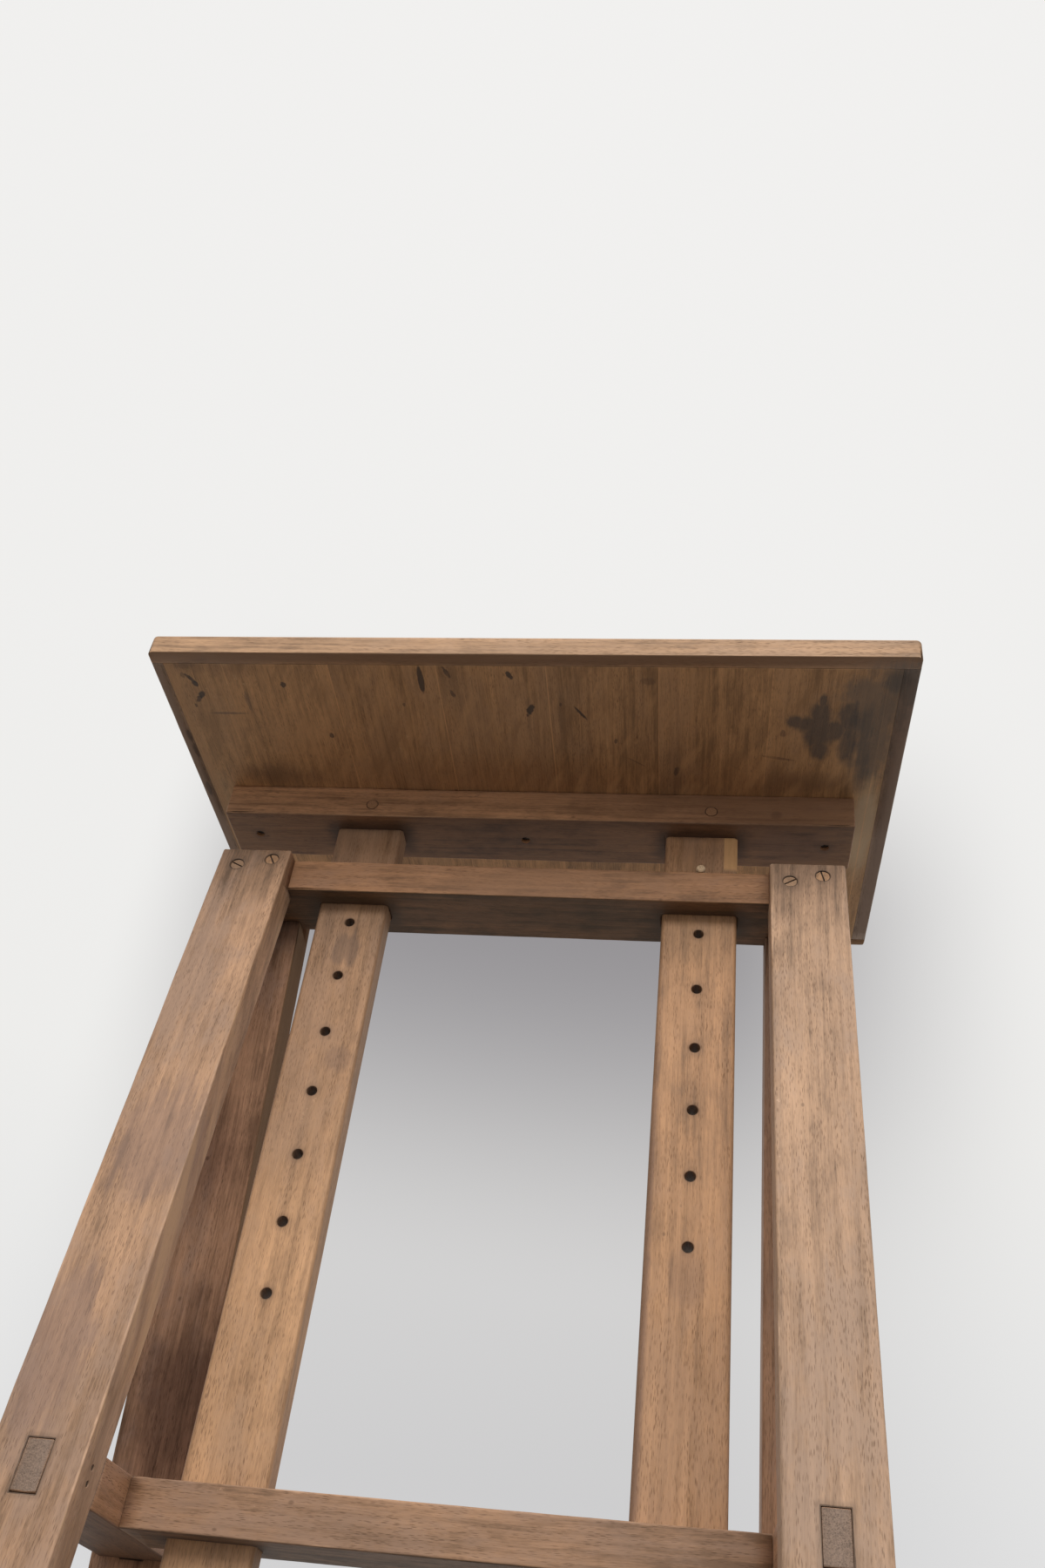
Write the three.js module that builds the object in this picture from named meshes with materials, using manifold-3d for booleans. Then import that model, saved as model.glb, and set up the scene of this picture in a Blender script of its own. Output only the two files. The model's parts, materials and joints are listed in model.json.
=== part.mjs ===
// Adjustable trestle table: two leaning leg pairs carry a rail and a lower
// cross rail, and a small top on two flat posts rises through both of them.
// Millimetres. +Z up, -Y the front, +X right, floor at z = 0, centred on x and y.
import * as THREE from 'three';
import { mergeVertices } from 'three/addons/utils/BufferGeometryUtils.js';
import Module from 'manifold-3d';

const wasm = await Module();
wasm.setup();

// ---- driving dimensions -------------------------------------------------
const GAP = 0.3;              // joint line between touching pieces
const RUN = 0.5;              // clearance of the posts in their mortises, each side

const TOP_W = 520;            // board, left to right
const TOP_D = 318;            // board, front to back
const TOP_T = 17.5;             // board thickness
const TOP_UNDER = 882.5;        // underside of the board above the floor, lowest setting
const TOP_ROUND = 3;          // round-over of the upper edge
const LIP_FRONT = 10.2;        // widths of the solid lipping strips
const LIP_REAR = 8;
const LIP_LEFT = 8;
const LIP_RIGHT = 10.5;

const BATTEN_X0 = -235;       // ends of the batten, slightly off centre
const BATTEN_X1 = 231.5;
const BATTEN_D = 48.5;
const BATTEN_T = 27.5;

const RAIL_D = 50;            // both rails, front to back
const RAIL_T = 26.5;          // both rails, height
const RAIL_TOP = 809.5;       // upper face of the top rail, level with the leg tops
const CROSS_TOP = 381.5;      // upper face of the cross rail and the stretchers

const LEG_W = 51;             // leg, left to right
const LEG_T = 26.2;           // leg, square to its wide face
const LEG_TILT = 7.2;         // lean of each leg from the vertical, degrees
const LEG_IN = 170.3;         // inner side of each leg from the centre plane
const LEG_FACE = 37;          // outer face of the leg from the centre plane, at the leg top

const STR_W = 46;             // stretcher, left to right
const TENON_W = 13.3;         // through tenon of the stretcher
const STUB = 14;              // hidden stub tenons of the cross rail

const POST_W = { '-1': 50, '1': 52 };           // left and right post
const POST_X = { '-1': -125, '1': 123.2 };      // centre of each post
const POST_T = 18;
const POST_R = 3;             // rounded upright edges of the posts
const POST_END = 20;          // lower end of the posts above the floor, lowest setting
const TEN_W = 38;             // post tenon in the batten
const TEN_T = 11;

const HOLE_R = 3.5;           // peg holes
const PEG_R = 3.1;
const PEG_L = 50;
const PITCH = 45.75;          // spacing of the peg holes
const HOLE_TOP = RAIL_TOP + GAP + PEG_R;   // row that carries the peg, just above the rail
const HOLES_LEFT = 8;
const HOLES_RIGHT = 7;
const PEG_RIGHT_FRONT = -RAIL_D / 2;       // front end of the right peg, level with the rail
const PEG_LEFT_FRONT = -12.5;              // front end of the left peg, pushed further in

const tan = Math.tan(THREE.MathUtils.degToRad(LEG_TILT));
const cos = Math.cos(THREE.MathUtils.degToRad(LEG_TILT));
const legFront = (z) => -LEG_FACE - (RAIL_TOP - z) * tan;      // wide outer face of a front leg
const legBack = (z) => legFront(z) + LEG_T / cos;

// ---- helpers ------------------------------------------------------------
const prep = (g) => {
  const c = g.clone();
  c.deleteAttribute('normal');
  c.deleteAttribute('uv');
  return mergeVertices(c.index ? c.toNonIndexed() : c, 1e-4);
};
// signed volume, used to turn a shell whose faces point inwards
const volume = (v, t) => {
  let s = 0;
  for (let i = 0; i < t.length; i += 3) {
    const [a, b, c] = [3 * t[i], 3 * t[i + 1], 3 * t[i + 2]];
    s += v[a] * (v[b + 1] * v[c + 2] - v[b + 2] * v[c + 1])
      - v[a + 1] * (v[b] * v[c + 2] - v[b + 2] * v[c])
      + v[a + 2] * (v[b] * v[c + 1] - v[b + 1] * v[c]);
  }
  return s / 6;
};
const solid = (g) => {
  const m = prep(g);
  const v = Float32Array.from(m.attributes.position.array);
  const t = Uint32Array.from(m.index.array);
  if (volume(v, t) < 0) {
    for (let i = 0; i < t.length; i += 3) [t[i], t[i + 1]] = [t[i + 1], t[i]];
  }
  return new wasm.Manifold(new wasm.Mesh({ numProp: 3, vertProperties: v, triVerts: t }));
};
const geometry = (man) => {
  const m = man.getMesh();
  const g = new THREE.BufferGeometry();
  g.setAttribute('position', new THREE.BufferAttribute(Float32Array.from(m.vertProperties), 3));
  g.setIndex(new THREE.BufferAttribute(Uint32Array.from(m.triVerts), 1));
  g.computeVertexNormals();
  return g;
};
const box = (x0, x1, y0, y1, z0, z1) => new THREE.BoxGeometry(x1 - x0, y1 - y0, z1 - z0)
  .translate((x0 + x1) / 2, (y0 + y1) / 2, (z0 + z1) / 2);
// closed outline in (y, z), given as [y, z] pairs, run along X from x0 to x1
const alongX = (pts, x0, x1) => {
  const s = new THREE.Shape(pts.map(([y, z]) => new THREE.Vector2(y, z)));
  const g = new THREE.ExtrudeGeometry(s, { depth: x1 - x0, bevelEnabled: false });
  g.applyMatrix4(new THREE.Matrix4().makeBasis(
    new THREE.Vector3(0, 1, 0), new THREE.Vector3(0, 0, 1), new THREE.Vector3(1, 0, 0)));
  return g.translate(x0, 0, 0);
};
// rounded rectangle in (x, y), centred, run up from z0 to z1
const roundedBar = (cx, cy, w, d, r, z0, z1, seg = 5) => {
  const s = new THREE.Shape();
  const x = w / 2, y = d / 2;
  s.moveTo(-x + r, -y);
  s.lineTo(x - r, -y);
  s.absarc(x - r, -y + r, r, -Math.PI / 2, 0, false);
  s.lineTo(x, y - r);
  s.absarc(x - r, y - r, r, 0, Math.PI / 2, false);
  s.lineTo(-x + r, y);
  s.absarc(-x + r, y - r, r, Math.PI / 2, Math.PI, false);
  s.lineTo(-x, -y + r);
  s.absarc(-x + r, -y + r, r, Math.PI, 1.5 * Math.PI, false);
  const g = new THREE.ExtrudeGeometry(s, { depth: z1 - z0, bevelEnabled: false, curveSegments: seg });
  return g.translate(cx, cy, z0);
};
// turned profile [[radius, height], ...] closed on the axis, axis along +Z
const turned = (pts, seg = 28) => new THREE.LatheGeometry(
  pts.map(([r, h]) => new THREE.Vector2(r, h)), seg).rotateX(Math.PI / 2);
// the same profile set at a point, with its axis along a direction
const turnedAt = (pts, at, dir, seg = 28) => {
  const g = turned(pts, seg);
  const q = new THREE.Quaternion().setFromUnitVectors(
    new THREE.Vector3(0, 0, 1), new THREE.Vector3(...dir).normalize());
  g.applyQuaternion(q);
  return g.translate(...at);
};
const rod = (r, l) => [[0, 0], [r, 0], [r, l], [0, l]];

const root = new THREE.Group();
root.name = 'adjustable_trestle_table';
const put = (name, g, colour, roughness, metalness = 0) => {
  const m = new THREE.Mesh(g, new THREE.MeshStandardMaterial({ color: colour, roughness, metalness }));
  m.material.name = name;
  m.name = name;
  root.add(m);
  return m;
};

// ---- wood screws --------------------------------------------------------
// Slotted countersunk screw. h = 0 is the top of the head, the axis runs into the wood.
const SCREW_R = 4.6;          // head radius
const SHANK_R = 2.1;
const SCREW_L = 32;
const SINK = 0.8;             // depth of the head below the surface
const screwProfile = (l, r = SCREW_R, k = SHANK_R) => [[0, 0], [r, 0], [r, 0.5], [k, 3.2], [k, l - 6], [0, l]];
const screwHole = (l) => [[0, -SINK - 4], [SCREW_R + GAP, -SINK - 4], [SCREW_R + GAP, 0.5 + 0.15],
  [SHANK_R + GAP, 3.2 + 0.3], [SHANK_R + GAP, l - 6], [0, l + 0.6]];
const screwSolid = (at, dir, l, slotDeg, r = SCREW_R, k = SHANK_R, w = 0.55) => {
  const body = solid(turned(screwProfile(l, r, k)));
  const slot = solid(box(-r - 1, r + 1, -w, w, -1, 1.1)
    .rotateZ(THREE.MathUtils.degToRad(slotDeg)));
  const g = geometry(body.subtract(slot));
  const q = new THREE.Quaternion().setFromUnitVectors(
    new THREE.Vector3(0, 0, 1), new THREE.Vector3(...dir).normalize());
  g.applyQuaternion(q);
  return g.translate(...at);
};

// side: -1 left, +1 right; face: -1 front, +1 rear
const legScrewAt = (side, face, k) => {
  // offsets from the leg centre line and from the leg top
  const table = { '-1': [[-11.3, 15.3], [13.1, 9.5]], '1': [[-12.1, 17], [9.9, 11.2]] };
  const [dx, dz] = table[face < 0 ? String(side) : String(-side)][k];
  const z = RAIL_TOP - dz;
  const n = [0, cos, -tan * cos];                // into the wood, for a front leg
  const y = legFront(z) + SINK * n[1];
  const zz = z + SINK * n[2];
  return { at: [side * (LEG_IN + LEG_W / 2) + dx, face < 0 ? y : -y, zz], dir: [0, -face * n[1], n[2]] };
};

// ---- legs ---------------------------------------------------------------
const BOT = RAIL_TOP - RAIL_T;                   // lower face of the top rail
const pinsOf = (side, face) => [0, 1].map((k) => {
  const z = CROSS_TOP - RAIL_T / 2 + (k ? -4 : 4);
  const y = (legFront(z) + legBack(z)) / 2;
  return { at: [side * LEG_IN, face < 0 ? y : -y, z], dir: [side, 0, 0] };
});
const PIN_R = 1.3;
const PIN_L = 34;
const legName = (side, face) => `leg_${face < 0 ? 'front' : 'rear'}_${side < 0 ? 'left' : 'right'}`;
const slotTurn = { leg_front_left: [28, 62], leg_front_right: [-33, 78], leg_rear_left: [12, -50], leg_rear_right: [70, -8] };
for (const face of [-1, 1]) {
  for (const side of [-1, 1]) {
    const outline = [
      [legFront(0), 0], [legBack(0), 0],
      [legBack(BOT - GAP), BOT - GAP],           // shoulder under the top rail
      [-RAIL_D / 2 - GAP, BOT - GAP],
      [-RAIL_D / 2 - GAP, RAIL_TOP],             // cheek in front of the top rail
      [legFront(RAIL_TOP), RAIL_TOP],
    ];
    const x0 = Math.min(side * LEG_IN, side * (LEG_IN + LEG_W));
    let leg = solid(alongX(outline, x0, x0 + LEG_W));
    const cx = side * (LEG_IN + LEG_W / 2);
    const zt = CROSS_TOP + GAP, zb = CROSS_TOP - RAIL_T - GAP;
    leg = leg.subtract(solid(box(cx - TENON_W / 2 - GAP, cx + TENON_W / 2 + GAP,
      legFront(zb) - 20, legBack(zt) + 20, zb, zt)));
    for (let k = 0; k < 2; k++) {
      const s = legScrewAt(side, face, k);         // a rear leg is cut as a front one, then mirrored
      leg = leg.subtract(solid(turnedAt(screwHole(SCREW_L),
        [s.at[0], face * -s.at[1], s.at[2]], [0, face * -s.dir[1], s.dir[2]])));
    }
    for (const p of pinsOf(side, -1)) {
      leg = leg.subtract(solid(turnedAt(rod(PIN_R + GAP, PIN_L + 6), [p.at[0] - side * 5, p.at[1], p.at[2]], p.dir, 16)));
    }
    let g = geometry(leg);
    if (face > 0) {                              // mirror in y, keeping the faces outwards
      g.scale(1, -1, 1);
      const i = g.index.array;
      for (let t = 0; t < i.length; t += 3) { const a = i[t]; i[t] = i[t + 1]; i[t + 1] = a; }
      g.computeVertexNormals();
    }
    put(legName(side, face), g, face < 0 ? '#9c7f66' : '#6d5340', 0.62);
  }
}

// ---- leg screws ---------------------------------------------------------
for (const face of [-1, 1]) {
  for (const side of [-1, 1]) {
    for (let k = 0; k < 2; k++) {
      const s = legScrewAt(side, face, k);
      const n = legName(side, face);
      put(`screw_${n}_${k + 1}`, screwSolid(s.at, s.dir, SCREW_L, slotTurn[n][k]), '#7d6348', 0.45, 0.8);
    }
  }
}

// ---- top rail -----------------------------------------------------------
const postMortise = (side, z0, z1) => solid(roundedBar(POST_X[side], 0,
  POST_W[side] + 2 * RUN, POST_T + 2 * RUN, POST_R + RUN, z0, z1));
{
  const half = LEG_IN + LEG_W;
  let rail = solid(box(-half, half, -RAIL_D / 2, RAIL_D / 2, BOT, RAIL_TOP));
  for (const side of [-1, 1]) {
    rail = rail.subtract(postMortise(side, BOT - 5, RAIL_TOP + 5));
    for (const face of [-1, 1]) {
      for (let k = 0; k < 2; k++) {
        const s = legScrewAt(side, face, k);
        rail = rail.subtract(solid(turnedAt(screwHole(SCREW_L), s.at, s.dir)));
      }
    }
  }
  put('top_rail', geometry(rail), '#8f6f52', 0.6);
}

// ---- side stretchers ----------------------------------------------------
const CROSS_BOT = CROSS_TOP - RAIL_T;
const STUB_D = 30, STUB_T = 12;
for (const side of [-1, 1]) {
  const x0 = Math.min(side * (LEG_IN + 0.7), side * (LEG_IN + 0.7 + STR_W));
  const bar = solid(alongX([
    [legBack(CROSS_BOT) + GAP, CROSS_BOT], [-legBack(CROSS_BOT) - GAP, CROSS_BOT],
    [-legBack(CROSS_TOP) - GAP, CROSS_TOP], [legBack(CROSS_TOP) + GAP, CROSS_TOP]], x0, x0 + STR_W));
  const cx = side * (LEG_IN + LEG_W / 2);
  const tenon = solid(alongX([
    [legFront(CROSS_BOT), CROSS_BOT], [-legFront(CROSS_BOT), CROSS_BOT],
    [-legFront(CROSS_TOP), CROSS_TOP], [legFront(CROSS_TOP), CROSS_TOP]],
  cx - TENON_W / 2, cx + TENON_W / 2));
  let s = bar.add(tenon);
  for (const face of [-1, 1]) {
    for (const p of pinsOf(side, face)) {
      s = s.subtract(solid(turnedAt(rod(PIN_R + GAP, PIN_L + 6), [p.at[0] - side * 5, p.at[1], p.at[2]], p.dir, 16)));
    }
  }
  const zc = (CROSS_TOP + CROSS_BOT) / 2;
  const xi = side * (LEG_IN + 0.7);
  s = s.subtract(solid(box(Math.min(xi - side * 2, xi + side * (STUB + GAP)), Math.max(xi - side * 2, xi + side * (STUB + GAP)),
    -STUB_D / 2 - GAP, STUB_D / 2 + GAP, zc - STUB_T / 2 - GAP, zc + STUB_T / 2 + GAP)));
  put(`stretcher_${side < 0 ? 'left' : 'right'}`, geometry(s), '#8a6a4e', 0.62);
}

// ---- cross rail ---------------------------------------------------------
{
  const half = LEG_IN + 0.7 - GAP;
  let c = solid(box(-half, half, -RAIL_D / 2, RAIL_D / 2, CROSS_BOT, CROSS_TOP));
  const zc = (CROSS_TOP + CROSS_BOT) / 2;
  c = c.add(solid(box(-half - STUB, half + STUB, -STUB_D / 2, STUB_D / 2, zc - STUB_T / 2, zc + STUB_T / 2)));
  for (const side of [-1, 1]) c = c.subtract(postMortise(side, CROSS_BOT - 5, CROSS_TOP + 5));
  put('cross_rail', geometry(c), '#997655', 0.6);
}

// ---- stretcher pins -----------------------------------------------------
for (const face of [-1, 1]) {
  for (const side of [-1, 1]) {
    pinsOf(side, face).forEach((p, k) => {
      put(`pin_${legName(side, face)}_${k + 1}`,
        geometry(solid(turnedAt(rod(PIN_R, PIN_L), [p.at[0] + side * 0.6, p.at[1], p.at[2]], p.dir, 16))),
        '#3a3029', 0.5, 0.6);
    });
  }
}

// ---- board: panel with solid lipping, butt-jointed at the corners --------
const UP = TOP_UNDER + TOP_T;
const hx = TOP_W / 2, hy = TOP_D / 2;
const BSCREW_X = [-213.4, -7.7, 212.1];
const BSINK = 2.6;                               // board screws sit in a counterbore
const BSCREW_L = 34;
const bScrewAt = (x) => [x, 0, TOP_UNDER - GAP - BATTEN_T + BSINK];
const BHEAD_R = 2.9, BSHANK_R = 1.6;             // slimmer than the leg screws
const bHole = [[0, -BSINK - 4], [BHEAD_R + GAP, -BSINK - 4], [BHEAD_R + GAP, 0.65],
  [BSHANK_R + GAP, 3.5], [BSHANK_R + GAP, BSCREW_L - 6], [0, BSCREW_L + 0.6]];
// the whole board with its upper edge rounded over, to be divided into its pieces
const slab = (() => {
  const r = TOP_ROUND;
  const c = 0.8;                                 // small turn of the corners before the round-over
  const s = new THREE.Shape();
  const x = hx - r, y = hy - r;
  s.moveTo(-x + c, -y);
  s.lineTo(x - c, -y);
  s.absarc(x - c, -y + c, c, -Math.PI / 2, 0, false);
  s.lineTo(x, y - c);
  s.absarc(x - c, y - c, c, 0, Math.PI / 2, false);
  s.lineTo(-x + c, y);
  s.absarc(-x + c, y - c, c, Math.PI / 2, Math.PI, false);
  s.lineTo(-x, -y + c);
  s.absarc(-x + c, -y + c, c, Math.PI, 1.5 * Math.PI, false);
  const g = new THREE.ExtrudeGeometry(s, {
    depth: TOP_T + 6 - r, bevelEnabled: true, bevelThickness: r, bevelSize: r, bevelSegments: 6, curveSegments: 4 });
  g.translate(0, 0, UP - r - (TOP_T + 6 - r));
  return solid(g).intersect(solid(box(-hx - 5, hx + 5, -hy - 5, hy + 5, TOP_UNDER, UP + 5)));
})();
const piece = (x0, x1, y0, y1) => slab.intersect(solid(box(x0, x1, y0, y1, TOP_UNDER - 5, UP + 5)));
const yF = -hy + LIP_FRONT, yR = hy - LIP_REAR, xL = -hx + LIP_LEFT, xR = hx - LIP_RIGHT;
{
  let p = piece(xL + GAP, xR - GAP, yF + GAP, yR - GAP);
  for (const x of BSCREW_X) p = p.subtract(solid(turnedAt(bHole, bScrewAt(x), [0, 0, 1])));
  put('top_panel', geometry(p), '#7b5c3c', 0.55);
}
put('lipping_front', geometry(piece(-hx - 5, hx + 5, -hy - 5, yF)), '#a9845f', 0.55);
put('lipping_rear', geometry(piece(-hx - 5, hx + 5, yR, hy + 5)), '#8d6b49', 0.55);
put('lipping_left', geometry(piece(-hx - 5, xL, yF + GAP, yR - GAP)), '#8b6b4d', 0.55);
put('lipping_right', geometry(piece(xR, hx + 5, yF + GAP, yR - GAP)), '#7a6049', 0.55);

// ---- batten under the board ---------------------------------------------
const BAT_TOP = TOP_UNDER - GAP;
const BAT_BOT = BAT_TOP - BATTEN_T;
const PLUG_R = 4;
const PLUG_L = 36;
const PLUGS = [[-122.8, BAT_TOP - 16.3], [129.4, BAT_TOP - 16.1]];
{
  let b = solid(box(BATTEN_X0, BATTEN_X1, -BATTEN_D / 2, BATTEN_D / 2, BAT_BOT, BAT_TOP));
  for (const side of [-1, 1]) {
    b = b.subtract(solid(box(POST_X[side] - TEN_W / 2 - GAP, POST_X[side] + TEN_W / 2 + GAP,
      -TEN_T / 2 - GAP, TEN_T / 2 + GAP, BAT_BOT - 5, BAT_TOP + 5)));
  }
  for (const [x, z] of PLUGS) {
    b = b.subtract(solid(turnedAt(rod(PLUG_R + GAP, PLUG_L + 5 + GAP), [x, -BATTEN_D / 2 - 5, z], [0, 1, 0])));
  }
  for (const x of BSCREW_X) b = b.subtract(solid(turnedAt(bHole, bScrewAt(x), [0, 0, 1])));
  put('batten', geometry(b), '#7d6048', 0.6);
}
PLUGS.forEach(([x, z], k) => {
  put(`batten_pin_${k ? 'right' : 'left'}`,
    geometry(solid(turnedAt(rod(PLUG_R, PLUG_L), [x, -BATTEN_D / 2, z], [0, 1, 0]))), '#5d4633', 0.6);
});
BSCREW_X.forEach((x, k) => {
  put(`batten_screw_${['left', 'middle', 'right'][k]}`,
    screwSolid(bScrewAt(x), [0, 0, 1], BSCREW_L, [35, -20, 80][k], BHEAD_R, BSHANK_R, 0.4), '#3b332b', 0.5, 0.7);
});

// ---- posts --------------------------------------------------------------
for (const side of [-1, 1]) {
  let p = solid(roundedBar(POST_X[side], 0, POST_W[side], POST_T, POST_R, POST_END, BAT_BOT - GAP, 5));
  p = p.add(solid(box(POST_X[side] - TEN_W / 2, POST_X[side] + TEN_W / 2,
    -TEN_T / 2, TEN_T / 2, BAT_BOT - 3, BAT_TOP - GAP)));
  const n = side < 0 ? HOLES_LEFT : HOLES_RIGHT;
  for (let k = 0; k < n; k++) {
    p = p.subtract(solid(turnedAt(rod(HOLE_R, POST_T + 4),
      [POST_X[side], -POST_T / 2 - 2, HOLE_TOP - k * PITCH], [0, 1, 0])));
  }
  for (const [x, z] of PLUGS) {
    p = p.subtract(solid(turnedAt(rod(PLUG_R + GAP, PLUG_L + 5 + GAP), [x, -BATTEN_D / 2 - 5, z], [0, 1, 0])));
  }
  put(`post_${side < 0 ? 'left' : 'right'}`, geometry(p), side < 0 ? '#94734f' : '#8f6c4d', 0.6);
}

// ---- loose pegs ---------------------------------------------------------
const pegProfile = [[0, 0], [PEG_R - 0.6, 0], [PEG_R, 0.6], [PEG_R, PEG_L - 0.6], [PEG_R - 0.6, PEG_L], [0, PEG_L]];
put('peg_left', geometry(solid(turnedAt(pegProfile, [POST_X[-1], PEG_LEFT_FRONT, HOLE_TOP], [0, 1, 0]))), '#b39a7c', 0.6);
put('peg_right', geometry(solid(turnedAt(pegProfile, [POST_X[1], PEG_RIGHT_FRONT, HOLE_TOP], [0, 1, 0]))), '#b39a7c', 0.6);

export default root;
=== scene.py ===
# Adjustable trestle table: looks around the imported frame. Metres, +Z up, -Y the front.
import json
import math

import bmesh
import bpy
from mathutils import Matrix, Vector, noise


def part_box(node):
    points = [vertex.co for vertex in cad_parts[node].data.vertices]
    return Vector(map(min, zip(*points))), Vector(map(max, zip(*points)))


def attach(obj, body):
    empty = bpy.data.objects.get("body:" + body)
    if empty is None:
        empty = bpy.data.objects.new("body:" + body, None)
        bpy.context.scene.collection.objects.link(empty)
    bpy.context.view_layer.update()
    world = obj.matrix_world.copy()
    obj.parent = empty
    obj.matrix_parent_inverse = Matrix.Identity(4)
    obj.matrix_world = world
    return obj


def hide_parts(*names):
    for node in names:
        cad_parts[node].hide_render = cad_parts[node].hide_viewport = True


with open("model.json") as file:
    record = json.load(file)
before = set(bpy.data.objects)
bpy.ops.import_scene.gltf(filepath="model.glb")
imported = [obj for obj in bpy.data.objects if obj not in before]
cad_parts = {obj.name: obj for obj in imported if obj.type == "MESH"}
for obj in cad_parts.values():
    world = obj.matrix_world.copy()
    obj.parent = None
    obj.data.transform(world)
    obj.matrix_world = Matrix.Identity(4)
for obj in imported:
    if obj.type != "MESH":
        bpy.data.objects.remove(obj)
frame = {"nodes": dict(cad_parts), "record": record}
NODES = frame["nodes"]
BODY = {n: b for b, ns in frame["record"]["behaviour"]["bodies"].items() for n in ns}
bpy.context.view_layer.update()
scene = bpy.context.scene
TILT = math.radians(7.2)
TAN, COS, SIN = math.tan(TILT), math.cos(TILT), math.sin(TILT)

# ---- camera -------------------------------------------------------------------------------
cam_data = bpy.data.cameras.new("camera")
cam = bpy.data.objects.new("camera", cam_data)
scene.collection.objects.link(cam)
right = Vector((0.991337, 0.083233, 0.101599))
up = Vector((-0.033945, -0.584906, 0.810391))
back = right.cross(up)
rot = Matrix((right, up, back)).transposed().to_4x4()
cam.matrix_world = Matrix.Translation((0.12327, -0.75046, 0.23172)) @ rot
cam_data.sensor_width = 36.0
cam_data.lens = 30.0746
cam_data.shift_x = -0.00543
cam_data.shift_y = 0.09589
cam_data.clip_start = 0.02
cam_data.clip_end = 60
scene.camera = cam


# ---- node helpers -------------------------------------------------------------------------
class Val:
    """A socket with arithmetic, so that a mask reads like a formula."""

    def __init__(self, g, sock):
        self.g, self.s = g, sock

    def __add__(self, o): return self.g.op("ADD", self, o)
    def __radd__(self, o): return self.g.op("ADD", o, self)
    def __sub__(self, o): return self.g.op("SUBTRACT", self, o)
    def __rsub__(self, o): return self.g.op("SUBTRACT", o, self)
    def __mul__(self, o): return self.g.op("MULTIPLY", self, o)
    def __rmul__(self, o): return self.g.op("MULTIPLY", o, self)
    def __truediv__(self, o): return self.g.op("DIVIDE", self, o)
    def __abs__(self): return self.g.op("ABSOLUTE", self)
    def __neg__(self): return self.g.op("MULTIPLY", self, -1.0)
    def __pow__(self, o): return self.g.op("POWER", self, o)


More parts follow.
